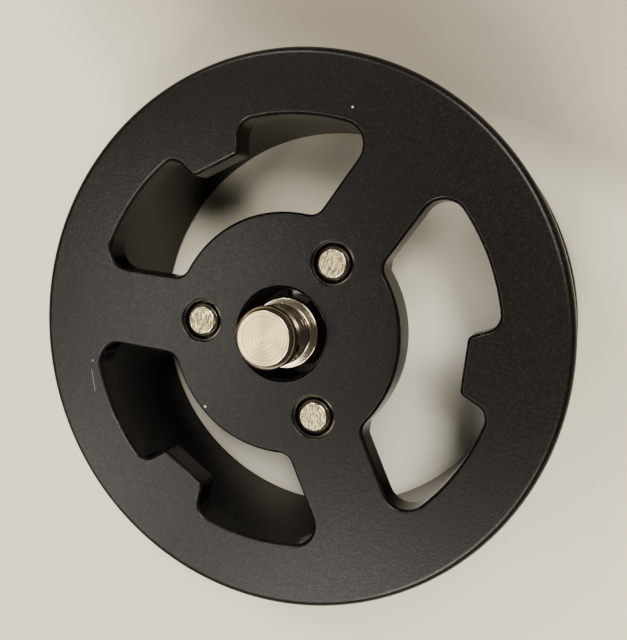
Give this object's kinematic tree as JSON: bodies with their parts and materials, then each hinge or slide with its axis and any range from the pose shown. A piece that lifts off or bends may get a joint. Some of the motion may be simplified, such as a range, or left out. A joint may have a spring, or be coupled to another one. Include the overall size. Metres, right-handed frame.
{
  "type": "ratcheting rope winch drum unit",
  "caption": "Low rope winch drum with toothed windows, turning one way on bearings around a fixed threaded spindle and foot.",
  "frame": {"origin": "centre of the foot's underside, on the drum's axis, in the plane of the deck", "axes": "+Z along the drum's axis towards the threaded stud, +X through the middle of one window"},
  "size_m": [0.0912, 0.0912, 0.0353],
  "materials": {
    "black_anodised": "bead-blasted, black anodised, satin",
    "carrier_anodised": "turned, black anodised",
    "turned_stainless": "turned and faced stainless steel",
    "foot_stainless": "turned stainless steel",
    "pin_steel": "ground pins with scratched ends",
    "hardened_steel": "hardened and oiled",
    "bearing_steel": "ground and polished",
    "spring_steel": "phosphated spring steel",
    "cage_brass": "machined brass",
    "seal_rubber": "moulded nitrile"
  },
  "bodies": {
    "base": {"spindle": "turned_stainless", "mounting_foot": "foot_stainless", "rear_bearing_inner_race": "bearing_steel", "front_bearing_inner_race": "bearing_steel", "spindle_circlip": "spring_steel", "pawl_spring_1": "spring_steel", "pawl_spring_2": "spring_steel"},
    "drum": {"drum": "black_anodised", "drive_pin_1": "pin_steel", "drive_pin_2": "pin_steel", "drive_pin_3": "pin_steel", "bearing_carrier": "carrier_anodised", "ratchet_ring": "hardened_steel", "rear_bearing_outer_race": "bearing_steel", "front_bearing_outer_race": "bearing_steel", "rear_bearing_shield": "seal_rubber", "front_bearing_shield": "seal_rubber", "housing_circlip": "spring_steel"},
    "pawl_1": {"pawl_1": "hardened_steel"},
    "pawl_2": {"pawl_2": "hardened_steel"},
    "rear_cage": {"rear_bearing_balls": "bearing_steel", "rear_bearing_cage": "cage_brass"},
    "front_cage": {"front_bearing_balls": "bearing_steel", "front_bearing_cage": "cage_brass"}
  },
  "joints": [
    {"name": "drum_spin", "type": "hinge", "parent": "base", "child": "drum", "pos_m": [0, 0, 0], "axis": [0, 0, -1], "continuous": true},
    {"name": "rear_cage_spin", "type": "hinge", "parent": "base", "child": "rear_cage", "pos_m": [0, 0, 0.0072], "axis": [0, 0, -1], "continuous": true},
    {"name": "front_cage_spin", "type": "hinge", "parent": "base", "child": "front_cage", "pos_m": [0, 0, 0.017], "axis": [0, 0, -1], "continuous": true},
    {"name": "pawl_1_pivot", "type": "hinge", "parent": "base", "child": "pawl_1", "pos_m": [0.0066, 0, 0.0121], "axis": [0, 0, 1], "range_deg": [0, 13], "stiffness_Nm_per_rad": 0.0002, "springref_deg": 25.78, "deforming": ["pawl_spring_1"]},
    {"name": "pawl_2_pivot", "type": "hinge", "parent": "base", "child": "pawl_2", "pos_m": [-0.0066, 0, 0.0121], "axis": [0, 0, 1], "range_deg": [0, 13], "stiffness_Nm_per_rad": 0.0002, "springref_deg": 25.78, "deforming": ["pawl_spring_2"]}
  ],
  "couplings": [
    {"joint": "rear_cage_spin", "follows": "drum_spin", "ratio": 0.5721},
    {"joint": "front_cage_spin", "follows": "drum_spin", "ratio": 0.5721}
  ]
}
